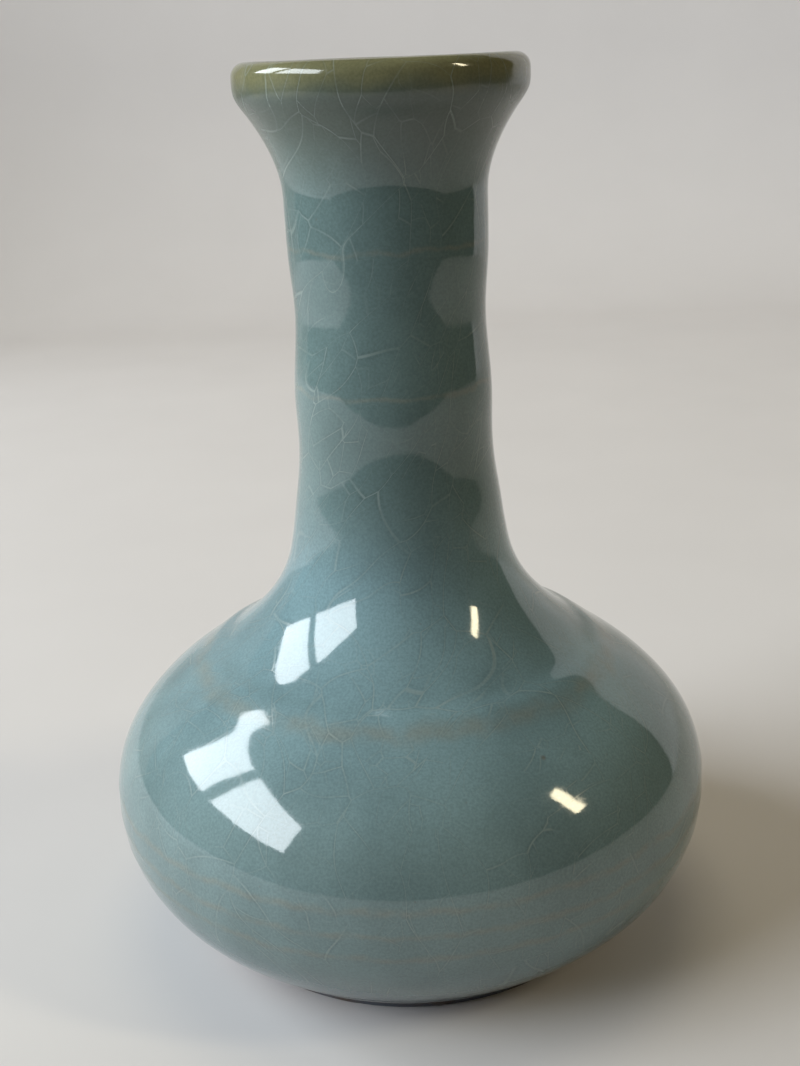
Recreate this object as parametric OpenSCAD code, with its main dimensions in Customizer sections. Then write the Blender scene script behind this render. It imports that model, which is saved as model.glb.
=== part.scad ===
// Squat bottle vase: luted clay sections, slip seams and a celadon glaze coat.
// Z runs up the axis of rotation and z = 0 is the surface that the foot stands on.

/* [Overall] */
// Height from the standing surface to the top of the lip
height = 130; // [110:1:180]
// Radius of the glazed belly at its widest
belly_r = 45.7; // [38:0.1:60]
// Radius of the glazed mouth at its widest
mouth_r = 20.2; // [16:0.1:26]
// Radius of the dark foot where it stands
foot_r = 31.2; // [24:0.1:34]

/* [Belly] */
// Height of the widest part of the belly
belly_z = 23.4; // [18:0.1:30]
// Radius of the glazed shoulder at its seam
seam_r = 31.7; // [26:0.1:38]
// Height of the shoulder seam
seam_z = 43.3; // [38:0.1:50]
// Inward slope of the shoulder at its seam, in millimetres per millimetre of height
seam_slope = 1.65; // [1:0.01:1.7]

/* [Neck] */
// Glazed radius where the shoulder has become the neck
root_r = 16.3; // [14.5:0.1:20]
// Height where the shoulder has become the neck
root_z = 61; // [56:0.1:68]
// Inward slope of the neck at its root, in millimetres per millimetre of height
root_slope = 0.21; // [0.1:0.01:0.3]
// Glazed radius at the neck's middle ring
neck_r = 14.3; // [13.5:0.1:18]
// Inward slope of the neck at its middle ring, in millimetres per millimetre of height
neck_slope = 0.05; // [0:0.01:0.1]
// Depth of the waists between the neck's three rings
waist_depth = 0.44; // [0:0.01:0.8]
// Depth of the top ring below the lip
ring_depth = 24.4; // [22:0.1:28]
// Distance between the neck's rings
ring_pitch = 19.8; // [16:0.1:20]
// Radius of the glazed bore through the neck
bore_r = 10.4; // [8:0.1:11]
// Length of the straight bore
bore_l = 37; // [20:0.5:60]

/* [Mouth] */
// Glazed radius of the throat, where the mouth starts to open
throat_r = 14.2; // [13.5:0.1:18]
// Depth of the throat below the lip
throat_depth = 18; // [16:0.5:20]
// Glazed radius of the flare where it is steepest
flare_r = 19.5; // [17.5:0.1:19.8]
// Depth of the steepest flare below the lip
flare_depth = 5.4; // [5:0.1:8]
// Outward slope of the flare, in millimetres per millimetre of height
flare_slope = 0.74; // [0.4:0.01:0.9]
// Radius of the rounded lip
lip_r = 1.9; // [1.5:0.05:2.4]

/* [Walls] */
// Wall of the body, with its glaze on both sides
wall = 4.2; // [3.4:0.1:5.5]
// Wall of the flared mouth, with its glaze on both sides
mouth_wall = 3.5; // [2.8:0.1:4]
// Height of the floor inside
floor_z = 8; // [7.2:0.1:11]
// Thickness of the glaze
glaze_t = 0.5; // [0.3:0.05:0.8]

/* [Foot] */
// Height of the bare foot below the glaze line
bare_h = 2.6; // [1.5:0.1:3.4]
// Glazed radius at the glaze line
glaze_line_r = 33.2; // [27:0.1:36]
// Outward slope of the body at the glaze line, in millimetres per millimetre of height
glaze_line_slope = 1.4; // [1:0.01:1.8]
// Width of the ring that the vase stands on
foot_w = 6; // [4:0.1:9]
// Taper of the foot's inner wall over its height
foot_taper = 0.6; // [0:0.1:1.5]
// Bevel at the foot's standing edges
foot_bevel = 0.5; // [0.2:0.1:1]
// Height of the glazed recess inside the foot
recess_h = 3.6; // [2.5:0.1:4]
// Height of the face where the foot joins the body
foot_joint_z = 5; // [4.6:0.1:6]

/* [Seams] */
// Thickness of the slip in each seam
slip_t = 0.4; // [0.2:0.05:0.6]
// Drop of the belly seam from outside to inside
belly_bevel = 2; // [1:0.1:3]
// Drop of the shoulder seam from outside to inside
seam_bevel = 2.6; // [1.5:0.1:3.2]

/* [Hidden] */
$fn = 96;

// Spacing of the points that a curved outline is drawn with, and the steps round the lip
outline_step = 1.6;
lip_steps = 10;

throat_z = height - throat_depth;
flare_z = height - flare_depth;
lip_z = height - lip_r;
top_ring_z = height - ring_depth;
middle_ring_z = top_ring_z - ring_pitch;
low_ring_z = middle_ring_z - ring_pitch;
bore_top_z = throat_z - 2;
bore_low_z = bore_top_z - bore_l;
boss_z = recess_h + glaze_t;
foot_hole_r = foot_r - foot_w;
boss_r = foot_hole_r - foot_taper - slip_t;

// Each station of an outline is [height, radius, change of radius per height]
outer_stations = [
    [bare_h, glaze_line_r, glaze_line_slope],
    [belly_z, belly_r, 0],
    [seam_z, seam_r, -seam_slope],
    [root_z, root_r, -root_slope],
    [middle_ring_z, neck_r, -neck_slope],
    [throat_z, throat_r, 0],
    [flare_z, flare_r, flare_slope],
    [lip_z, mouth_r, 0]
];

// Smooth curve through the stations, which keeps each station's slope
function blend(t, span, a, b) =
    a[1] * (2 * t * t * t - 3 * t * t + 1) + span * a[2] * (t * t * t - 2 * t * t + t)
    + b[1] * (3 * t * t - 2 * t * t * t) + span * b[2] * (t * t * t - t * t);

function curve_at(stations, z, i = 0) =
    i < len(stations) - 2 && z > stations[i + 1][0]
    ? curve_at(stations, z, i + 1)
    : let (span = stations[i + 1][0] - stations[i][0])
      blend((z - stations[i][0]) / span, span, stations[i], stations[i + 1]);

// Shallow waists between the rings of the neck
function waist_at(z) =
    z > low_ring_z && z < top_ring_z
    ? waist_depth * (1 - cos(360 * (z - low_ring_z) / ring_pitch)) / 2
    : 0;

function glazed_r(z) = curve_at(outer_stations, z) - waist_at(z);

// Width, measured level, of a wall that is t thick square to the curve
slope_probe = 0.05;
function slope_of(z) = (glazed_r(z + slope_probe) - glazed_r(z - slope_probe)) / (2 * slope_probe);
function level_width(z, t) = t * sqrt(1 + pow(slope_of(z), 2));

// Outside of the clay, under the glaze
function clay_r(z) = z >= lip_z ? mouth_r - glaze_t : glazed_r(z) - level_width(z, glaze_t);

// Inside of the clay: it follows the body, narrows to the bore, then opens with the mouth
bore_clay_r = bore_r + glaze_t;
body_cavity_top = root_z;
cavity_stations = [
    [body_cavity_top, root_r - wall + glaze_t, -0.16],
    [bore_low_z, bore_clay_r, 0],
    [bore_top_z, bore_clay_r, 0],
    [flare_z, flare_r - (mouth_wall - glaze_t) * sqrt(1 + pow(flare_slope, 2)), 0.62],
    [lip_z, mouth_r - 2 * lip_r + glaze_t, 0]
];
function clay_hole_r(z) =
    z < body_cavity_top
    ? glazed_r(z) - level_width(z, wall - glaze_t)
    : curve_at(cavity_stations, z);

// Inside of the glaze that lines the clay
hole_probe = 0.05;
function hole_slope(z) =
    z > lip_z - hole_probe ? 0
    : (clay_hole_r(z + hole_probe) - clay_hole_r(z - hole_probe)) / (2 * hole_probe);
function lined_r(z) =
    z >= bore_low_z && z <= bore_top_z
    ? bore_r
    : clay_hole_r(z) - glaze_t * sqrt(1 + pow(hole_slope(z), 2));

// Heights at which an outline from a to b has its points: its ends, stations and even steps
function stops(a, b, marks) = [for (m = marks) if (m > a && m < b) m];
function levels(a, b, marks) =
    let (ends = concat([a], stops(a, b, marks), [b]))
    [for (i = [0:len(ends) - 2])
        let (count = ceil((ends[i + 1] - ends[i]) / outline_step))
        for (k = [0:count - 1]) ends[i] + (ends[i + 1] - ends[i]) * k / count,
     b];
outer_marks = [for (s = outer_stations) s[0]];
inner_marks = [belly_z, seam_z, root_z, bore_low_z, bore_top_z, flare_z];

function reversed(points) = [for (i = [len(points) - 1:-1:0]) points[i]];
function glazed_line(a, b) = [for (z = levels(a, b, outer_marks)) [glazed_r(z), z]];
function clay_line(a, b) = [for (z = levels(a, b, outer_marks)) [clay_r(z), z]];
function clay_hole_line(a, b) = [for (z = levels(a, b, inner_marks)) [clay_hole_r(z), z]];
function lined_line(a, b) = [for (z = levels(a, b, inner_marks)) [lined_r(z), z]];

// Half circle over the lip, from outside to inside, without its two ends
function lip_arc(r) =
    [for (k = [1:lip_steps - 1]) let (a = 180 * k / lip_steps)
        [mouth_r - lip_r + r * cos(a), lip_z + r * sin(a)]];

module turned(points) {
    rotate_extrude() polygon(points);
}

// Section of the clay wall between two bevelled seams, given their outer and inner heights
module clay_wall(outer_low, inner_low, outer_high, inner_high) {
    turned(concat(
        clay_line(outer_low, outer_high),
        reversed(clay_hole_line(inner_low, inner_high))));
}

// Film of slip that fills a bevelled seam through the wall
module slip_seam(z, bevel) {
    color([0.62, 0.5, 0.4])
        clay_wall(z - slip_t / 2, z - bevel - slip_t / 2, z + slip_t / 2, z - bevel + slip_t / 2);
}

// Bare ring that the vase stands on; its hole fits round the boss under the body
module foot_ring() {
    top = foot_joint_z - slip_t;
    color([0.2, 0.14, 0.13])
        turned(concat(
            [[foot_hole_r, foot_bevel], [foot_hole_r + foot_bevel, 0], [foot_r - foot_bevel, 0],
             [foot_r, foot_bevel]],
            clay_line(bare_h, top),
            [[foot_hole_r - foot_taper, top], [foot_hole_r - foot_taper, boss_z]]));
}

// Slip that beds the foot ring: flat under the body, with a collar round the boss
module foot_slip() {
    collar_r = boss_r + slip_t;
    color([0.62, 0.5, 0.4])
        turned(concat(
            [[boss_r, boss_z], [collar_r, boss_z], [collar_r, foot_joint_z - slip_t]],
            clay_line(foot_joint_z - slip_t, foot_joint_z),
            [[boss_r, foot_joint_z]]));
}

// Bowl from the foot to the widest part of the belly, with the floor and the boss under it
module lower_body() {
    floor_clay_z = floor_z - glaze_t;
    low = slip_t / 2;
    color([0.7, 0.62, 0.54])
        turned(concat(
            [[0, boss_z], [boss_r, boss_z], [boss_r, foot_joint_z]],
            clay_line(foot_joint_z, belly_z - low),
            reversed(clay_hole_line(floor_clay_z, belly_z - belly_bevel - low)),
            [[0, floor_clay_z]]));
}

module belly_slip() {
    slip_seam(belly_z, belly_bevel);
}

// Shoulder from the widest part of the belly up to its seam
module upper_body() {
    half = slip_t / 2;
    color([0.7, 0.62, 0.54])
        clay_wall(belly_z + half, belly_z - belly_bevel + half, seam_z - half, seam_z - seam_bevel - half);
}

module shoulder_slip() {
    slip_seam(seam_z, seam_bevel);
}

// Neck with its flared mouth and rounded lip
module neck() {
    half = slip_t / 2;
    color([0.7, 0.62, 0.54])
        turned(concat(
            clay_line(seam_z + half, lip_z),
            lip_arc(lip_r - glaze_t),
            reversed(clay_hole_line(seam_z - seam_bevel + half, lip_z))));
}

// Celadon coat from the glaze line above the foot to the inner edge of the lip
module outer_glaze() {
    color([0.36, 0.48, 0.47])
        turned(concat(
            glazed_line(bare_h, lip_z),
            lip_arc(lip_r),
            [[mouth_r - 2 * lip_r, lip_z], [mouth_r - 2 * lip_r + glaze_t, lip_z]],
            reversed(lip_arc(lip_r - glaze_t)),
            reversed(clay_line(bare_h, lip_z))));
}

// Glaze that lines the mouth, the bore, the belly and the floor
module inner_glaze() {
    color([0.42, 0.5, 0.47])
        turned(concat(
            [[0, floor_z - glaze_t]],
            clay_hole_line(floor_z - glaze_t, lip_z),
            reversed(lined_line(floor_z, lip_z)),
            [[0, floor_z]]));
}

// Disc of glaze under the body, inside the foot
module base_glaze() {
    color([0.42, 0.5, 0.47])
        translate([0, 0, recess_h])
            cylinder(h = glaze_t, r = foot_hole_r - foot_taper);
}

foot_ring();
foot_slip();
lower_body();
belly_slip();
upper_body();
shoulder_slip();
neck();
outer_glaze();
inner_glaze();
base_glaze();
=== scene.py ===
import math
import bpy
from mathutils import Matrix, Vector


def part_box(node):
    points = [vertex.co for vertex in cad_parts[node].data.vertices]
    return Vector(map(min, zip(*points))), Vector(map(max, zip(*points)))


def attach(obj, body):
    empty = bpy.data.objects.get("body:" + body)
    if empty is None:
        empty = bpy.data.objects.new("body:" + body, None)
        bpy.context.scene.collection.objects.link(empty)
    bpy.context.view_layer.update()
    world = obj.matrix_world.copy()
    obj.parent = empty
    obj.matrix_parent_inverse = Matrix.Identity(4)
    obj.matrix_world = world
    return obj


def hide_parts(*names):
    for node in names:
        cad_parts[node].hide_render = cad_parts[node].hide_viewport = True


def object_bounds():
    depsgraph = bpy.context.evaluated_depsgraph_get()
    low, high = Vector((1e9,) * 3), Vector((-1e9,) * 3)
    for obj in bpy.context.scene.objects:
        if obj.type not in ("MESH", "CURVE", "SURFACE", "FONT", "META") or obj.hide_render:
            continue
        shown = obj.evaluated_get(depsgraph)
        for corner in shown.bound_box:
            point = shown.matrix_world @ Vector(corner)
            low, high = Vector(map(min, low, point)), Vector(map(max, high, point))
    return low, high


bl_info = {
    "name": "Celadon Bottle Vase",
    "version": (1, 0, 0),
    "blender": (4, 5, 0),
    "location": "3D View > Sidebar > Vase",
    "description": "Turns the glaze coats and the foot of a squat bottle vase, and paints its finishes",
    "category": "Object",
}

import bpy
from mathutils import Matrix, Vector, noise

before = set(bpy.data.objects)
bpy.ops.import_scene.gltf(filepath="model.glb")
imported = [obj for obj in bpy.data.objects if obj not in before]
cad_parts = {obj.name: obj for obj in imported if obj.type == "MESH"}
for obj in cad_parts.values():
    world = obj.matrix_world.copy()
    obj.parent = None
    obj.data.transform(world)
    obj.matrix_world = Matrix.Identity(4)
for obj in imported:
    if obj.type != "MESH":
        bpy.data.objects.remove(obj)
cad_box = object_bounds()

MM = 0.001
TOP = cad_box[1].z
# Two places closer than this count as one
TINY = 1e-6

# Heights of what the potter's hands left on the outside, and the place of one iron speck
SHOULDER_RING = 44.9 * MM
NECK_RINGS = (105.6 * MM, 85.8 * MM)
THROWING_RINGS = (25.9 * MM, 22.2 * MM, 18.6 * MM)
IRON_SPECK = (18 * MM, -31.6 * MM, 40 * MM)
GLAZE_THICKNESS = 0.5 * MM

# Size, share of the lumpiness and seed of the large, middling and small lumps
LUMPS = ((19 * MM, 1, 3.7), (6.5 * MM, 0.16, 8.1), (2.6 * MM, 0.02, 5.3))
# Radius at which the vase is out of round by the amount that is set
OVAL_RADIUS = 45 * MM

# Cell size and upright scale of the long and the fine cracks, and how far they lean, in radians
LONG_CELLS = (8 * MM, 0.44)
FINE_CELLS = (4.7 * MM, 0.55)
CRACK_LEAN = 2.6
# Where a hairline and the shade beside it start and end to fade, from the crack's middle
HAIRLINE = (0.03 * MM, 0.11 * MM)
SHADE_BESIDE = (0.1 * MM, 0.4 * MM)

# Tints of the lights
DAYLIGHT = (0.88, 0.95, 1.0)
LAMPLIGHT = (1.0, 0.88, 0.6)


# Outlines

def section_of(node):
    """Smallest and largest radius of a turned CAD node at each of its heights."""
    section = {}
    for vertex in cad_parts[node].data.vertices:
        radius = math.hypot(vertex.co.x, vertex.co.y)
        height = round(vertex.co.z, 6)
        low, high = section.get(height, (radius, radius))
        section[height] = (min(low, radius), max(high, radius))
    return sorted((height, low, high) for height, (low, high) in section.items())


def smooth_line(points, spacing):
    """Points along a smooth curve through the given ones, about a spacing apart."""
    line = []
    for i in range(len(points) - 1):
        before = points[max(i - 1, 0)]
        start, end = points[i], points[i + 1]
        after = points[min(i + 2, len(points) - 1)]
        steps = max(1, round(math.dist(start, end) / spacing))
        for k in range(steps):
            t = k / steps
            line.append(tuple(
                0.5 * (2 * b + (c - a) * t + (2 * a - 5 * b + 4 * c - d) * t * t
                       + (3 * b - a - 3 * c + d) * t * t * t)
                for a, b, c, d in zip(before, start, end, after)
            ))
    return line + [points[-1]]


def straight_line(start, end, spacing):
    steps = max(1, round(math.dist(start, end) / spacing))
    return [tuple(a + (b - a) * k / steps for a, b in zip(start, end)) for k in range(steps + 1)]


def arc(centre, width, height, start, end, steps):
    """Points on an ellipse in the section, with its angles in degrees."""
    angles = [math.radians(start + (end - start) * k / steps) for k in range(steps + 1)]
    return [(centre[0] + width * math.cos(a), centre[1] + height * math.sin(a)) for a in angles]


def bend(start, corner, end, steps):
    """Points on a curve that rounds off a corner."""
    ts = [k / steps for k in range(steps + 1)]
    return [
        tuple((1 - t) ** 2 * a + 2 * t * (1 - t) * b + t * t * c
              for a, b, c in zip(start, corner, end))
        for t in ts
    ]


def joined(*lines):
    """One line from several, without the points that repeat."""
    line = []
    for part in lines:
        for point in part:
            if not line or math.dist(line[-1], point) > TINY:
                line.append(point)
    return line


# Turning

def turned_piece(name, outline, around, relief):
    """Turns an outline, given anticlockwise as radius and height, and lifts it by a relief."""
    poled = outline[0][0] < TINY and outline[-1][0] < TINY
    rings = outline[1:-1] if poled else outline
    count = len(rings)
    points = []
    for i, (radius, height) in enumerate(rings):
        before = outline[i] if poled else rings[i - 1]
        after = outline[i + 2] if poled else rings[(i + 1) % count]
        run, rise = after[0] - before[0], after[1] - before[1]
        length = math.hypot(run, rise)
        out, up = rise / length, -run / length
        for k in range(around):
            angle = 2 * math.pi * k / around
            lift = relief(i, radius, height, angle)
            wide = radius + out * lift
            points.append((wide * math.cos(angle), wide * math.sin(angle), height + up * lift))
    faces = []
    for i in range(count - 1 if poled else count):
        j = (i + 1) % count
        for k in range(around):
            n = (k + 1) % around
            faces.append((i * around + k, i * around + n, j * around + n, j * around + k))
    if poled:
        first, last = len(points), len(points) + 1
        points += [(0, 0, outline[0][1]), (0, 0, outline[-1][1])]
        top = (count - 1) * around
        for k in range(around):
            n = (k + 1) % around
            faces.append((first, n, k))
            faces.append((last, top + k, top + n))
    mesh = bpy.data.meshes.new(name)
    mesh.from_pydata(points, [], faces)
    mesh.validate()
    mesh.shade_smooth()
    mesh.set_sharp_from_angle(angle=math.radians(50))
    piece = bpy.data.objects.new(name, mesh)
    bpy.context.scene.collection.objects.link(piece)
    return piece


def unevenness(point, size, seed):
    """Smooth hand-made unevenness from -1 to 1, with lumps of about a size."""
    return noise.noise(Vector(point) / size + Vector((seed, 2 * seed, -seed)))


def hill(value, centre, width):
    return math.exp(-(((value - centre) / width) ** 2))


def at(radius, height, angle):
    return (radius * math.cos(angle), radius * math.sin(angle), height)


def hand_lift(shape, radius, height, angle):
    """Lift that the hand and the kiln leave on every glazed surface."""
    place = at(radius, height, angle)
    oval = shape.out_of_round * (math.cos(2 * angle + 0.5) + 0.5 * math.cos(3 * angle + 2))
    lumps = sum(share * unevenness(place, size, seed) for size, share, seed in LUMPS)
    return oval * radius / OVAL_RADIUS + shape.lumpiness * lumps


def finish_piece(piece, node, material):
    """Paints a piece, and lets it stand for its CAD node."""
    piece.data.materials.append(material)
    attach(piece, "root")
    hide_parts(node)


# Materials

def new_material(name):
    """A material with an emptied node tree, its surface shader and its place on the vase."""
    material = bpy.data.materials.new(name)
    material.use_nodes = True
    tree = material.node_tree
    tree.nodes.clear()
    output = tree.nodes.new("ShaderNodeOutputMaterial")
    shader = tree.nodes.new("ShaderNodeBsdfPrincipled")
    tree.links.new(shader.outputs["BSDF"], output.inputs["Surface"])
    place = tree.nodes.new("ShaderNodeTexCoord").outputs["Object"]
    return material, tree, shader, place


def feed(tree, socket, value):
    """Links a socket to another one, or sets its value."""
    if isinstance(value, bpy.types.NodeSocket):
        tree.links.new(value, socket)
    else:
        socket.default_value = value


def add(tree, kind, inputs, **settings):
    """Adds a shader node with its settings, and feeds its inputs by name or number."""
    made = tree.nodes.new("ShaderNode" + kind)
    for key, value in settings.items():
        setattr(made, key, value)
    for key, value in inputs.items():
        feed(tree, made.inputs[key], value)
    return made


def calc(tree, operation, first, second=0.0):
    return add(tree, "Math", {0: first, 1: second}, operation=operation).outputs[0]


def between(tree, value, low, high, to_low=0.0, to_high=1.0):
    """Eases a value from one range into another."""
    inputs = {"Value": value, "From Min": low, "From Max": high, "To Min": to_low, "To Max": to_high}
    return add(tree, "MapRange", inputs, interpolation_type="SMOOTHSTEP").outputs["Result"]


def blended(tree, factor, first, second):
    """Mixes two colours."""
    return add(tree, "Mix", {0: factor, 6: first, 7: second}, data_type="RGBA").outputs[2]


def cloudy(tree, place, size, detail=2.0, stretch=(1, 1, 1)):
    """Noise with lumps of about a size, in metres."""
    scaled = add(tree, "Mapping", {"Vector": place, "Scale": stretch}).outputs["Vector"]
    return add(tree, "TexNoise", {"Vector": scaled, "Scale": 1 / size, "Detail": detail})


def band(tree, value, centre, width):
    """1 at a centre, easing to 0 a width away on either side."""
    away = calc(tree, "ABSOLUTE", calc(tree, "SUBTRACT", value, centre))
    return between(tree, away, 0, width, 1, 0)


def height_of(tree, place):
    return add(tree, "SeparateXYZ", {0: place}).outputs["Z"]


def shifted(tree, place, direction, amount):
    """A place moved along a direction, both given as vectors."""
    inputs = {0: direction, 1: (amount, amount, amount), 2: place}
    return add(tree, "VectorMath", inputs, operation="MULTIPLY_ADD").outputs[0]


def leaning(tree, place):
    """Coordinates that turn round the axis above the shoulder, and drift in long smooth bends."""
    height = height_of(tree, place)
    turn = calc(tree, "MULTIPLY", between(tree, height, 40 * MM, TOP), -CRACK_LEAN)
    inputs = {"Vector": place, "Angle": turn}
    leant = add(tree, "VectorRotate", inputs, rotation_type="Z_AXIS").outputs[0]
    for size, reach in ((30 * MM, 20 * MM), (11 * MM, 4 * MM)):
        leant = shifted(tree, leant, cloudy(tree, place, size, 0).outputs["Color"], reach)
    return leant


def cell_pattern(tree, place, cells):
    """Inputs of a pattern of cells, each taller than wide."""
    size, upright_scale = cells
    inputs = {"Vector": place, "Scale": (1, 1, upright_scale)}
    shrunk = add(tree, "Mapping", inputs).outputs["Vector"]
    return {"Vector": shrunk, "Scale": 1 / size, "Randomness": 1.0}


def wall_distance(tree, pattern, size):
    """Distance to the nearest wall of a pattern of cells, in metres."""
    edge = add(tree, "TexVoronoi", pattern, feature="DISTANCE_TO_EDGE").outputs["Distance"]
    return calc(tree, "MULTIPLY", edge, size)


def crack_distances(tree, place):
    """Distances to the nearest long crack and to the nearest fine one.

    The fine cracks came later, and start and end on the long ones, so each long cell moves
    the fine pattern inside it to a place of its own.
    """
    leant = leaning(tree, place)
    long_pattern = cell_pattern(tree, leant, LONG_CELLS)
    own_place = add(tree, "TexVoronoi", long_pattern, feature="F1").outputs["Color"]
    fine_pattern = cell_pattern(tree, shifted(tree, leant, own_place, 1), FINE_CELLS)
    return (
        wall_distance(tree, long_pattern, LONG_CELLS[0]),
        wall_distance(tree, fine_pattern, FINE_CELLS[0]),
    )


def crackle(tree, place):
    """Hairlines of a crackled glaze: how pale each place is in their middle, and how shaded beside.

    The cells are solid, and the glaze cuts some of their walls at a slant. A second look just
    above the glaze tells how a wall leans, and keeps its line as thin as the others.
    """
    probe = 0.03 * MM
    normal = tree.nodes.new("ShaderNodeNewGeometry").outputs["Normal"]
    here = crack_distances(tree, place)
    above = crack_distances(tree, shifted(tree, place, normal, probe))
    patches = cloudy(tree, place, 8 * MM, 1).outputs["Fac"]
    fading = between(tree, patches, 0.36, 0.6, 0.15, 0.85)
    light, shade = 0.0, 0.0
    for distance, distance_above, amount in zip(here, above, (1.0, fading)):
        lean = calc(tree, "DIVIDE", calc(tree, "SUBTRACT", distance_above, distance), probe)
        square = calc(tree, "SUBTRACT", 1.0, calc(tree, "MULTIPLY", lean, lean))
        upright = calc(tree, "SQRT", calc(tree, "MAXIMUM", square, 0.01))
        along = calc(tree, "DIVIDE", distance, upright)
        seen = calc(tree, "MULTIPLY", between(tree, upright, 0.45, 0.8), amount)
        thin = calc(tree, "MULTIPLY", between(tree, along, *HAIRLINE, 1, 0), seen)
        wide = calc(tree, "MULTIPLY", between(tree, along, *SHADE_BESIDE, 1, 0), seen)
        light = calc(tree, "MAXIMUM", light, thin)
        shade = calc(tree, "MAXIMUM", shade, wide)
    uneven = between(tree, cloudy(tree, place, 5 * MM, 2).outputs["Fac"], 0.3, 0.7, 0.3, 1)
    return calc(tree, "MULTIPLY", light, uneven), calc(tree, "MULTIPLY", shade, uneven)


def toned(tree, colour, tone):
    """A colour made lighter or darker by a factor."""
    return add(tree, "VectorMath", {0: colour, "Scale": tone}, operation="SCALE").outputs[0]


def glaze_by_height(tree, level, finish):
    """Celadon that pools on the shoulder, thins up the neck and turns brown over the lip, with painted
    light on the shoulder and painted shade on the neck and under the lip.
    """
    # Painted light: the shoulder is painted lighter and bluer, partly for glaze pooled there and partly
    # as if lit from above
    pooled_and_painted_light = calc(tree, "MULTIPLY", between(tree, level, 30 * MM, 46 * MM),
                  between(tree, level, 56 * MM, 74 * MM, 1, 0))
    colour = blended(tree, pooled_and_painted_light, finish.celadon, finish.celadon_pooled_and_painted_light)
    for start, end, upper in (
        # Painted shade: the neck is painted darker, partly thinner glaze and partly shade on its
        # upright sides
        (58 * MM, 78 * MM, finish.celadon_neck_and_painted_shade),
        # Painted shade: under the lip the glaze is painted darker, partly thin glaze and partly shade
        # under the overhang
        (TOP - 20 * MM, TOP - 6 * MM, finish.thin_glaze_and_painted_shade),
        (TOP - 5 * MM, TOP - 1.5 * MM, finish.lip_brown),
    ):
        colour = blended(tree, between(tree, level, start, end), colour, upper)
    return colour


def brown_rings(tree, place, level, colour, finish):
    """Browns the glaze in worn patches along the shoulder ring, the throwing and the neck rings."""
    worn = between(tree, cloudy(tree, place, 3 * MM, 3).outputs["Fac"], 0.3, 0.62, 0.35, 1)
    shoulder_reach, throwing_reach, neck_reach = 1.6 * MM, 0.9 * MM, 0.6 * MM
    crests = [(SHOULDER_RING - 0.9 * MM, shoulder_reach, 0.42)]
    crests += [(ring_height, throwing_reach, 0.42) for ring_height in THROWING_RINGS]
    crests += [(ring_height, neck_reach, 0.4) for ring_height in NECK_RINGS]
    for ring_height, reach, strength in crests:
        thin = calc(tree, "MULTIPLY", band(tree, level, ring_height, reach), worn)
        browned = calc(tree, "MULTIPLY", thin, strength)
        colour = blended(tree, browned, colour, finish.ring_brown)
    return colour


def foot_flush_and_speck(tree, place, level, colour, finish):
    """Adds the flush of iron where the glaze stops above the foot, and one larger iron speck."""
    flush = between(tree, level, 2.9 * MM, 3.7 * MM, 0.85, 0)
    colour = blended(tree, flush, colour, finish.glaze_end)
    away = add(tree, "VectorMath", {0: place, 1: IRON_SPECK}, operation="DISTANCE").outputs["Value"]
    dot = between(tree, away, 0.1 * MM, 0.55 * MM, 0.5, 0)
    return blended(tree, dot, colour, finish.speck)


def glaze_tone(tree, place, level, grain, shade, finish):
    """How light the glaze is: soft clouds, fine grain, painted shade that darkens it low down, and
    darker beside the cracks.
    """
    clouds = cloudy(tree, place, 16 * MM, 4, (1, 1, 0.6)).outputs["Fac"]
    tone = calc(tree, "MULTIPLY", between(tree, clouds, 0.34, 0.68, 0.88, 1.1),
                between(tree, grain, 0.25, 0.75, 0.9, 1.1))
    # Painted shade: the glaze is painted darker low down on the belly
    tone = calc(tree, "MULTIPLY", tone, between(tree, level, 8 * MM, 27 * MM, 0.84, 1))
    crack_depth = 0.34 * finish.crackle
    return calc(tree, "SUBTRACT", tone, calc(tree, "MULTIPLY", shade, crack_depth))


def glaze_surface(tree, place, grain, spots):
    """Normals of a glaze that swells and ripples, and dips at its specks."""
    ripple = cloudy(tree, place, 1.1 * MM, 2).outputs["Fac"]
    swell = cloudy(tree, place, 4.5 * MM, 1).outputs["Fac"]
    lift = calc(tree, "ADD", calc(tree, "MULTIPLY", ripple, 0.18), swell)
    lift = calc(tree, "ADD", lift, calc(tree, "MULTIPLY", grain, 0.06))
    lift = calc(tree, "SUBTRACT", lift, calc(tree, "MULTIPLY", spots, 0.3))
    return add(tree, "Bump", {"Strength": 1.0, "Distance": 0.02 * MM, "Height": lift}).outputs[0]


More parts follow.
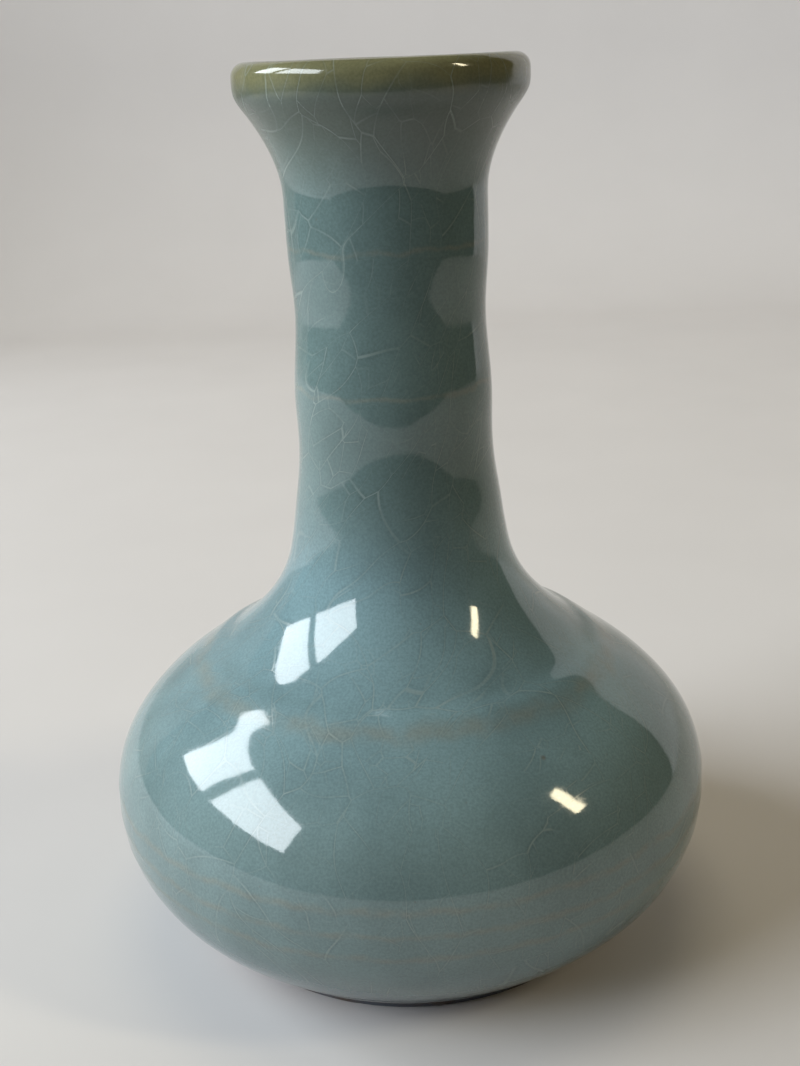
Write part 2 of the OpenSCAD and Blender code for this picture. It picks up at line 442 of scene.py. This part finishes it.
def celadon_glaze(name, finish, outside):
    """Crackled blue-green glaze, brown where it thins over the lip and, outside, on the rings."""
    material, tree, shader, place = new_material(name)
    wander = cloudy(tree, place, 5 * MM, 3).outputs["Fac"]
    shift = calc(tree, "MULTIPLY", calc(tree, "SUBTRACT", wander, 0.5), 2.4 * MM)
    level = calc(tree, "ADD", height_of(tree, place), shift)
    colour = glaze_by_height(tree, level, finish)
    if outside:
        colour = brown_rings(tree, place, level, colour, finish)
        colour = foot_flush_and_speck(tree, place, level, colour, finish)

    grain = cloudy(tree, place, 0.34 * MM, 2).outputs["Fac"]
    light, shade = crackle(tree, place)
    colour = toned(tree, colour, glaze_tone(tree, place, level, grain, shade, finish))
    hairline = calc(tree, "MULTIPLY", light, finish.crackle)
    colour = blended(tree, hairline, colour, finish.crack_light)
    specks = add(tree, "TexVoronoi", {"Vector": place, "Scale": 1 / (5 * MM)}).outputs["Distance"]
    spots = between(tree, specks, 0.015, 0.04, 0.22, 0)
    colour = blended(tree, spots, colour, finish.speck)

    sheen = between(tree, grain, 0.3, 0.7, 0.05, 0.085)
    under_rim = calc(tree, "MULTIPLY", band(tree, level, TOP - 5 * MM, 5 * MM), 0.16)
    matter = calc(tree, "ADD", sheen, under_rim)
    roughness = calc(tree, "ADD", calc(tree, "MULTIPLY", light, 0.1), matter)
    feed(tree, shader.inputs["Normal"], glaze_surface(tree, place, grain, spots))
    feed(tree, shader.inputs["Base Color"], colour)
    feed(tree, shader.inputs["Roughness"], roughness)
    shader.inputs["IOR"].default_value = 1.56
    return material


def iron_foot_clay(finish):
    """Bare clay, burnt to an iron black, with fine grit, turning lines and a flush by the glaze."""
    material, tree, shader, place = new_material("iron_foot_clay")
    height = height_of(tree, place)
    clouds = cloudy(tree, place, 4 * MM, 4).outputs["Fac"]
    grit = cloudy(tree, place, 0.28 * MM, 3).outputs["Fac"]
    warmth = between(tree, clouds, 0.35, 0.65)
    colour = blended(tree, warmth, finish.foot_clay, finish.foot_clay_warm)
    sand = between(tree, grit, 0.6, 0.72, 0, 0.5)
    colour = blended(tree, sand, colour, finish.foot_grit)
    flush = between(tree, height, 1.7 * MM, 2.8 * MM, 0, 0.55)
    flush = calc(tree, "MULTIPLY", flush, between(tree, clouds, 0.4, 0.6))
    colour = blended(tree, flush, colour, finish.glaze_end)
    lines = cloudy(tree, place, 0.6 * MM, 1, (0.02, 0.02, 1)).outputs["Fac"]
    lift = calc(tree, "ADD", calc(tree, "MULTIPLY", grit, 0.6), lines)
    bump = add(tree, "Bump", {"Strength": 0.8, "Distance": 0.08 * MM, "Height": lift})
    feed(tree, shader.inputs["Normal"], bump.outputs[0])
    feed(tree, shader.inputs["Base Color"], colour)
    feed(tree, shader.inputs["Roughness"], between(tree, grit, 0.3, 0.7, 0.55, 0.85))
    return material


def stoneware(name, colour_light, colour_dark, groove):
    """Fired clay with a fine grain and the level grooves of throwing."""
    material, tree, shader, place = new_material(name)
    clouds = cloudy(tree, place, 7 * MM, 4).outputs["Fac"]
    grain = cloudy(tree, place, 0.35 * MM, 3).outputs["Fac"]
    rings = cloudy(tree, place, groove, 1, (0.03, 0.03, 1)).outputs["Fac"]
    colour = blended(tree, between(tree, clouds, 0.3, 0.7), colour_dark, colour_light)
    colour = blended(tree, between(tree, grain, 0.58, 0.72, 0, 0.45), colour, colour_dark)
    lift = calc(tree, "ADD", calc(tree, "MULTIPLY", grain, 0.4), rings)
    bump = add(tree, "Bump", {"Strength": 0.6, "Distance": 0.1 * MM, "Height": lift})
    feed(tree, shader.inputs["Normal"], bump.outputs[0])
    feed(tree, shader.inputs["Base Color"], colour)
    feed(tree, shader.inputs["Roughness"], between(tree, grain, 0.3, 0.7, 0.7, 0.9))
    return material


def paper(name, colour):
    """Plain matt studio paper with a barely seen tooth."""
    material, tree, shader, place = new_material(name)
    tooth = cloudy(tree, place, 0.05, 2).outputs["Fac"]
    darker = (*[0.94 * c for c in colour[:3]], 1)
    feed(tree, shader.inputs["Base Color"], blended(tree, tooth, colour, darker))
    shader.inputs["Roughness"].default_value = 0.9
    shader.inputs["Specular IOR Level"].default_value = 0.2
    return material


# Settings

def length_setting(name, description, default):
    return bpy.props.FloatProperty(
        name=name, description=description, default=default, precision=5, unit="LENGTH")


def colour_setting(name, description, default):
    return bpy.props.FloatVectorProperty(
        name=name, description=description, default=(*default, 1), size=4,
        min=0, max=1, subtype="COLOR")


def number_setting(name, description, default):
    return bpy.props.FloatProperty(name=name, description=description, default=default, min=0)


class VaseShape(bpy.types.PropertyGroup):
    around: bpy.props.IntProperty(
        name="Facets", description="Faces round each turned piece", default=240, min=48)
    spacing: length_setting("Point spacing", "Distance between rings of points on the coat", 0.58 * MM)
    out_of_round: length_setting("Out of round", "How far the belly is from a circle", 0.1 * MM)
    lumpiness: length_setting("Lumpiness", "Height of the glaze's soft unevenness", 0.14 * MM)
    ridge: length_setting("Shoulder ridge", "Height of the ridge on the shoulder", 0.44 * MM)
    rings: length_setting("Throwing rings", "Height of the faint rings low on the belly", 0.06 * MM)
    glaze_roll: length_setting("Glaze roll", "Swelling where the glaze stops, by the foot", 0.14 * MM)
    fingers: length_setting("Finger marks", "Height of the spiral finger marks inside", 0.13 * MM)
    grooves: length_setting("Foot grooves", "Depth of the turning grooves on the foot", 0.02 * MM)


class VaseFinish(bpy.types.PropertyGroup):
    celadon: colour_setting("Celadon", "Glaze on the belly", (0.141, 0.203, 0.203))
    # Painted light: lighter and bluer, partly pooled glaze and partly light falling from above
    celadon_pooled_and_painted_light: colour_setting("Pooled celadon", "Glaze on the shoulder", (0.155, 0.24, 0.258))
    # Painted shade: darker, partly thinner glaze and partly shade on the upright neck
    celadon_neck_and_painted_shade: colour_setting("Thinner celadon", "Glaze on the neck", (0.106, 0.155, 0.15))
    # Painted shade: darker, partly thin glaze and partly shade under the overhanging lip
    thin_glaze_and_painted_shade: colour_setting("Thin glaze", "Glaze under the lip", (0.078, 0.1, 0.083))
    lip_brown: colour_setting("Lip", "Thinnest glaze, over the lip", (0.16, 0.156, 0.082))
    ring_brown: colour_setting("Rings", "Thin glaze on the rings", (0.2, 0.195, 0.155))
    glaze_end: colour_setting("Glaze end", "Iron flush where the glaze stops", (0.2, 0.075, 0.025))
    crack_light: colour_setting("Crackle", "Hairlines of the crackle", (0.31, 0.365, 0.34))
    speck: colour_setting("Specks", "Iron specks in the glaze", (0.12, 0.07, 0.035))
    crackle: number_setting("Crackle strength", "How clearly the crackle shows", 0.34)
    body_light: colour_setting("Body clay", "Fired body clay", (0.42, 0.34, 0.26))
    body_dark: colour_setting("Body clay shade", "Darker grains of the body clay", (0.26, 0.2, 0.15))
    slip_light: colour_setting("Slip", "Fired slip in the seams", (0.36, 0.27, 0.2))
    slip_dark: colour_setting("Slip shade", "Darker grains of the slip", (0.22, 0.16, 0.12))
    foot_clay: colour_setting("Foot clay", "Bare clay of the foot", (0.078, 0.088, 0.105))
    foot_clay_warm: colour_setting("Warm foot clay", "Brown parts of the foot", (0.085, 0.066, 0.055))
    foot_grit: colour_setting("Foot grit", "Pale grit in the foot", (0.16, 0.13, 0.11))


class VaseStudio(bpy.types.PropertyGroup):
    paper: colour_setting("Paper", "Colour of the floor and its sweep", (0.63, 0.605, 0.6))
    light_distance: length_setting("Light distance", "From the axis to the window and the lamp", 0.9)
    window: number_setting("Window", "Watts from each square metre of the window panes", 36)
    lamp: number_setting("Lamp", "Watts of the narrow warm light", 3.5)
    sky: number_setting("Overhead light", "Watts of the broad soft light overhead", 1.0)
    side: number_setting("Side light", "Watts of the low soft light on the window side", 6)
    backdrop: colour_setting("Backdrop", "Plain colour past the edges of the paper", (0.5, 0.495, 0.49))
    room: colour_setting("Room", "Soft light from all round", (0.015, 0.0135, 0.011))
    room_mirrored: colour_setting("Mirrored room", "Room as the glaze mirrors it", (0.02, 0.022, 0.02))
    camera_distance: length_setting("Camera distance", "From the axis to the camera, level", 0.1957)
    camera_height: length_setting("Camera height", "Height of the camera", 0.13)
    camera_pitch: bpy.props.FloatProperty(
        name="Camera pitch", description="How far the camera looks down",
        default=math.radians(19.18), subtype="ANGLE")
    camera_roll: bpy.props.FloatProperty(
        name="Camera roll", description="Tilt of the camera about its own axis",
        default=math.radians(-2.43), subtype="ANGLE")
    lens: bpy.props.FloatProperty(
        name="Lens", description="Focal length", default=46.27, subtype="DISTANCE_CAMERA")


# Pieces

def lip_of(section):
    """Centre radius, centre height and roundness of the lip."""
    top, low, high = section[-1]
    middle = (low + high) / 2
    flare_depth = 4 * MM
    widest = max(high for height, low, high in section if height > top - flare_depth)
    return middle, top - (widest - middle), widest - middle


class VASE_OT_glaze_coat(bpy.types.Operator):
    """Turns the celadon coat, from its rolled end above the foot to the inner edge of the lip"""

    bl_idname = "vase.glaze_coat"
    bl_label = "Glaze Coat"

    def execute(self, context):
        shape = context.scene.vase_shape
        section = section_of("outer_glaze")
        lip_middle, lip_height, roundness = lip_of(section)
        wall = [(high, height) for height, low, high in section if height <= lip_height + TINY]
        clay = [(low, height) for height, low, high in section if height < lip_height - TINY]
        low_end, clay_end = wall[0], clay[0]
        bare_lip = roundness - GLAZE_THICKNESS
        outside = smooth_line(wall, shape.spacing)
        over = arc((lip_middle, lip_height), roundness, roundness, 0, 180, 28)
        inner_edge = [(lip_middle - bare_lip, lip_height)]
        under = arc((lip_middle, lip_height), bare_lip, bare_lip, 180, 0, 12)
        hidden = smooth_line([clay[-1], *clay[-3:0:-3], clay[0]], 8 * shape.spacing)
        middle = ((low_end[0] + clay_end[0]) / 2, low_end[1])
        roll = arc(middle, (low_end[0] - clay_end[0]) / 2, shape.glaze_roll, 180, 360, 8)
        outline = joined(outside, over, inner_edge, under, hidden, roll[1:-1])
        shown = len(joined(outside, over))
        end_height = low_end[1]

        def relief(i, radius, height, angle):
            if i >= shown:
                return 0
            if radius < lip_middle:
                return hand_lift(shape, radius, height, angle)
            near_end = hill(height, end_height, 1.1 * MM)
            wavering = unevenness(at(radius, 0, angle), 14 * MM, 1.9)
            crest = SHOULDER_RING + 0.3 * MM * wavering
            flank = 1.9 * MM if height < crest else 1 * MM
            uneven = 1 + 0.3 * unevenness(at(radius, height, angle), 8 * MM, 4.4)
            lift = shape.ridge * uneven * hill(height, crest, flank)
            for ring_height in THROWING_RINGS:
                lift += shape.rings * hill(height, ring_height, 0.7 * MM)
            lift += shape.glaze_roll * near_end * (1 + 0.5 * wavering)
            return lift + hand_lift(shape, radius, height, angle) * (1 - near_end)

        piece = turned_piece("celadon_coat", outline, shape.around, relief)
        finish_piece(piece, "outer_glaze",
                     celadon_glaze("celadon", context.scene.vase_finish, True))
        return {"FINISHED"}


class VASE_OT_lining(bpy.types.Operator):
    """Turns the glaze that lines the mouth, the neck and the belly, with its finger marks"""

    bl_idname = "vase.lining"
    bl_label = "Lining"

    def execute(self, context):
        shape = context.scene.vase_shape
        section = section_of("inner_glaze")
        top = section[-1][0]
        floor = section[1][0]
        foot_of_wall = floor + 6 * MM
        clay = [(high, height) for height, low, high in section]
        lined = [(low, height) for height, low, high in section if height > foot_of_wall]
        clay_line = joined([(0, section[0][0])], smooth_line(clay, 4 * shape.spacing))
        wall = smooth_line(lined[::-1], 1.5 * shape.spacing)
        flat_radius = section[1][2] - 13 * MM
        corner = (lined[0][0] - 1.5 * MM, floor)
        curve = bend(lined[0], corner, (flat_radius, floor), 24)
        ground = straight_line(curve[-1], (0, floor), 2 * shape.spacing)
        outline = joined(clay_line, wall, curve, ground)
        hidden = len(clay_line)

        def relief(i, radius, height, angle):
            at_lip = height > top - 0.2 * MM
            if i + 1 < hidden or at_lip and i + 1 < hidden + 1:
                return 0
            depth = min(1, (top - height) / (14 * MM))
            finger_pitch = 5.2 * MM
            spiral = math.sin(2 * math.pi * (height + 0.7 * radius) / finger_pitch + angle)
            middle = min(1, radius / (4 * MM))
            return (
                shape.fingers * depth * spiral * middle
                - hand_lift(shape, radius, height, angle) * (1 - depth)
            )

        piece = turned_piece("celadon_lining", outline, shape.around, relief)
        finish_piece(piece, "inner_glaze",
                     celadon_glaze("celadon_lining", context.scene.vase_finish, False))
        return {"FINISHED"}


class VASE_OT_base_glaze(bpy.types.Operator):
    """Turns the disc of glaze under the vase, which creeps down inside the foot"""

    bl_idname = "vase.base_glaze"
    bl_label = "Base Glaze"

    def execute(self, context):
        shape = context.scene.vase_shape
        low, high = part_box("base_glaze")
        edge = high.x
        creep_end = (edge + 0.08 * MM, low.z - 0.4 * MM)
        creep = bend((edge - 1.6 * MM, low.z), (edge, low.z), creep_end, 12)
        underside = straight_line((0, low.z), creep[0], shape.spacing)
        back = [(edge, high.z), (0, high.z)]
        outline = joined(underside, creep, back)
        shown = len(underside)

        def relief(i, radius, height, angle):
            if i + 1 >= shown:
                return 0
            fade = min(1, radius / (3 * MM)) * min(1, (edge - radius) / (3 * MM))
            swirl_pitch = 3.1 * MM
            swirl = math.sin(2 * math.pi * radius / swirl_pitch + angle)
            lumps = unevenness(at(radius, height, angle), 7 * MM, 6.2)
            return fade * (0.4 * shape.fingers * swirl + 0.6 * shape.lumpiness * lumps)

        piece = turned_piece("base_pool", outline, shape.around, relief)
        finish_piece(piece, "base_glaze",
                     celadon_glaze("base_glaze", context.scene.vase_finish, False))
        return {"FINISHED"}


class VASE_OT_bare_foot(bpy.types.Operator):
    """Turns the bare iron-black foot, with rounded edges and turning grooves"""

    bl_idname = "vase.bare_foot"
    bl_label = "Bare Foot"

    def execute(self, context):
        shape = context.scene.vase_shape
        section = section_of("foot_ring")
        ground, inner, outer = section[0]
        edge_height, inner_wall, outer_wall = section[1]
        edge = outer_wall - outer
        outside = [
            (high, height) for height, low, high in section
            if height >= edge_height and high > outer
        ]
        top = section[-1]
        inside_top = (top[1], top[0])
        spacing = 0.16 * MM
        outline = joined(
            arc((inner, edge_height), inner - inner_wall, edge_height, 180, 270, 8),
            straight_line((inner, ground), (outer, ground), spacing),
            arc((outer, edge_height), edge, edge_height, 270, 360, 8),
            smooth_line(outside, spacing),
            straight_line((outside[-1][0], top[0]), inside_top, 1 * MM),
            straight_line(inside_top, (inner_wall, edge_height), spacing)[:-1],
        )

        def relief(i, radius, height, angle):
            place = at(radius, height, angle)
            groove_pitch = 0.85 * MM
            turning = math.sin(2 * math.pi * (height + 0.8 * radius) / groove_pitch + angle)
            pitting = unevenness(place, 1.2 * MM, 7.7) + unevenness(place, 5 * MM, 2.8)
            return min(0, shape.grooves * (turning - 1 + pitting))

        piece = turned_piece("bare_foot", outline, shape.around, relief)
        finish_piece(piece, "foot_ring", iron_foot_clay(context.scene.vase_finish))
        return {"FINISHED"}


class VASE_OT_clay_walls(bpy.types.Operator):
    """Paints the clay sections that the glaze covers"""

    bl_idname = "vase.clay_walls"
    bl_label = "Clay Walls"

    def execute(self, context):
        finish = context.scene.vase_finish
        clay = stoneware("body_clay", finish.body_light, finish.body_dark, 2.4 * MM)
        for node in ("lower_body", "upper_body", "neck"):
            paint_node(node, clay)
        return {"FINISHED"}


class VASE_OT_slip_seams(bpy.types.Operator):
    """Paints the slip that joins the clay sections"""

    bl_idname = "vase.slip_seams"
    bl_label = "Slip Seams"

    def execute(self, context):
        finish = context.scene.vase_finish
        slip = stoneware("seam_slip", finish.slip_light, finish.slip_dark, 0.5 * MM)
        for node in ("foot_slip", "belly_slip", "shoulder_slip"):
            paint_node(node, slip)
        return {"FINISHED"}


def paint_node(node, material):
    """Gives every material slot of a CAD node's object one finish."""
    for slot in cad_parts[node].material_slots:
        slot.material = material


# Studio

def add_object(name, data):
    made = bpy.data.objects.new(name, data)
    bpy.context.scene.collection.objects.link(made)
    return made


def sweep(studio):
    """A round paper floor whose far side rises in a curve behind the vase."""
    far_reach, front_edge, back_edge, rise_radius, wall_top = 0.58, 0.25, 0.5, 0.13, 0.75
    open_from, open_to, ease = math.radians(-128), math.radians(122), math.radians(12)
    around, floor_steps, curve_steps, wall_steps = 240, 10, 14, 10
    points, faces = [(0, 0, 0)], []
    for k in range(around):
        azimuth = -math.pi + 2 * math.pi * k / around
        edge = min(azimuth - open_from, open_to - azimuth)
        wall = 1 - max(0, min(1, 0.5 + edge / (2 * ease)))
        raised = wall * wall * (3 - 2 * wall)
        straight_edge = front_edge if math.cos(azimuth) > 0 else back_edge
        reach = min(far_reach, straight_edge / max(abs(math.cos(azimuth)), 0.1))
        profile = [(reach * (i + 1) / floor_steps, 0) for i in range(floor_steps)]
        turns = [math.pi / 2 * (i + 1) / curve_steps for i in range(curve_steps)]
        profile += [
            (reach + rise_radius * math.sin(t) * raised, rise_radius * (1 - math.cos(t)) * raised)
            for t in turns]
        foot_of_wall = reach + rise_radius * raised
        step = (wall_top - rise_radius) / wall_steps
        profile += [
            (foot_of_wall, (rise_radius + step * (i + 1)) * raised) for i in range(wall_steps)]
        side, away = math.sin(azimuth), -math.cos(azimuth)
        points += [(radius * side, radius * away, height) for radius, height in profile]
    rows = floor_steps + curve_steps + wall_steps
    for k in range(around):
        n = (k + 1) % around
        faces.append((0, 1 + k * rows, 1 + n * rows))
        for i in range(rows - 1):
            a, b = 1 + k * rows + i, 1 + n * rows + i
            faces.append((a, a + 1, b + 1, b))
    mesh = bpy.data.meshes.new("paper_sweep")
    mesh.from_pydata(points, [], faces)
    mesh.shade_smooth()
    mesh.materials.append(paper("studio_paper", studio.paper))
    add_object("paper_sweep", mesh)


def add_light(name, centre, width, height, power, tint):
    """A flat light that faces the axis from one side, or faces down from above it."""
    light = bpy.data.lights.new(name, "AREA")
    light.shape = "RECTANGLE"
    light.size, light.size_y = width, height
    light.energy, light.color = power, tint
    lamp = add_object(name, light)
    lamp.location = centre
    if centre[0] != 0:
        lamp.rotation_euler = (math.pi / 2, 0, math.copysign(math.pi / 2, centre[0]))
    lamp.visible_camera = False
    return lamp


def world_light(studio):
    """Soft light from all round, pale behind the floor, and dim where the glaze mirrors it."""
    world = bpy.data.worlds.new("studio_room")
    world.use_nodes = True
    tree = world.node_tree
    tree.nodes.clear()
    path = tree.nodes.new("ShaderNodeLightPath")
    seen = blended(tree, path.outputs["Is Glossy Ray"], studio.room, studio.room_mirrored)
    seen = blended(tree, path.outputs["Is Camera Ray"], seen, studio.backdrop)
    background = add(tree, "Background", {"Color": seen, "Strength": 1.0})
    output = tree.nodes.new("ShaderNodeOutputWorld")
    tree.links.new(background.outputs[0], output.inputs["Surface"])
    bpy.context.scene.world = world


def add_camera(studio):
    camera = bpy.data.cameras.new("camera")
    camera.sensor_width = 36
    camera.lens = studio.lens
    camera.dof.use_dof = False
    camera.clip_start, camera.clip_end = 0.01, 20
    stand = add_object("camera", camera)
    level = Matrix.Rotation(math.pi / 2 - studio.camera_pitch, 4, "X")
    tilt = Matrix.Rotation(studio.camera_roll, 4, "Z")
    place = Matrix.Translation((0, -studio.camera_distance, studio.camera_height))
    stand.matrix_world = place @ level @ tilt
    bpy.context.scene.camera = stand


class VASE_OT_studio(bpy.types.Operator):
    """Sets up the paper floor, the window and lamp lights, the room and the camera"""

    bl_idname = "vase.studio"
    bl_label = "Studio"

    def execute(self, context):
        studio = context.scene.vase_studio
        sweep(studio)
        far = studio.light_distance
        sill, window_top = 0.5 * far, 1.14 * far
        for name, front, back in (("back_pane", 0.04, 0.42), ("front_pane", -0.9, -0.06)):
            width, height = (back - front) * far, window_top - sill
            centre = (-far, (front + back) / 2 * far, (sill + window_top) / 2)
            add_light(name, centre, width, height, studio.window * width * height, DAYLIGHT)
        beside = (far, -0.4 * far, 0.84 * far)
        add_light("lamp", beside, 0.12 * far, 0.5 * far, studio.lamp, LAMPLIGHT)
        above = (0, 0.25 * far, 1.2 * far)
        overhead = add_light("overhead", above, 0.7 * far, 0.7 * far, studio.sky, LAMPLIGHT)
        overhead.data.spread = math.radians(110)
        low_beside = (-far, -0.05 * far, 0.13 * far)
        side = add_light("side", low_beside, 0.65 * far, 0.22 * far, studio.side, DAYLIGHT)
        for fill in (overhead, side):
            fill.visible_glossy = False
        world_light(studio)
        context.scene.view_settings.view_transform = "Standard"
        add_camera(studio)
        return {"FINISHED"}


class VASE_PT_sidebar(bpy.types.Panel):
    """Lists the vase's sizes, finishes and studio, each with the operators that use them"""

    bl_label = "Celadon Bottle Vase"
    bl_space_type = "VIEW_3D"
    bl_region_type = "UI"
    bl_category = "Vase"

    def draw(self, context):
        scene = context.scene
        for title, settings, operators in (
            ("Shape", scene.vase_shape, SHAPE_OPERATORS),
            ("Finish", scene.vase_finish, FINISH_OPERATORS),
            ("Studio", scene.vase_studio, STUDIO_OPERATORS),
        ):
            box = self.layout.box()
            box.label(text=title)
            for key in settings.__annotations__:
                box.prop(settings, key)
            for operator in operators:
                box.operator(operator.bl_idname)


SHAPE_OPERATORS = (VASE_OT_glaze_coat, VASE_OT_lining, VASE_OT_base_glaze, VASE_OT_bare_foot)
FINISH_OPERATORS = (VASE_OT_clay_walls, VASE_OT_slip_seams)
STUDIO_OPERATORS = (VASE_OT_studio,)
SETTINGS = (("vase_shape", VaseShape), ("vase_finish", VaseFinish), ("vase_studio", VaseStudio))
PANELS = (VASE_PT_sidebar,)


def register():
    for name, group in SETTINGS:
        bpy.utils.register_class(group)
        setattr(bpy.types.Scene, name, bpy.props.PointerProperty(type=group))
    for made in (*SHAPE_OPERATORS, *FINISH_OPERATORS, *STUDIO_OPERATORS, *PANELS):
        bpy.utils.register_class(made)


def unregister():
    for made in (*PANELS, *STUDIO_OPERATORS, *FINISH_OPERATORS, *SHAPE_OPERATORS):
        bpy.utils.unregister_class(made)
    for name, group in SETTINGS:
        delattr(bpy.types.Scene, name)
        bpy.utils.unregister_class(group)


def main():
    register()
    bpy.ops.vase.glaze_coat()
    bpy.ops.vase.lining()
    bpy.ops.vase.base_glaze()
    bpy.ops.vase.bare_foot()
    bpy.ops.vase.clay_walls()
    bpy.ops.vase.slip_seams()
    bpy.ops.vase.studio()


if __name__ == "__main__":
    main()
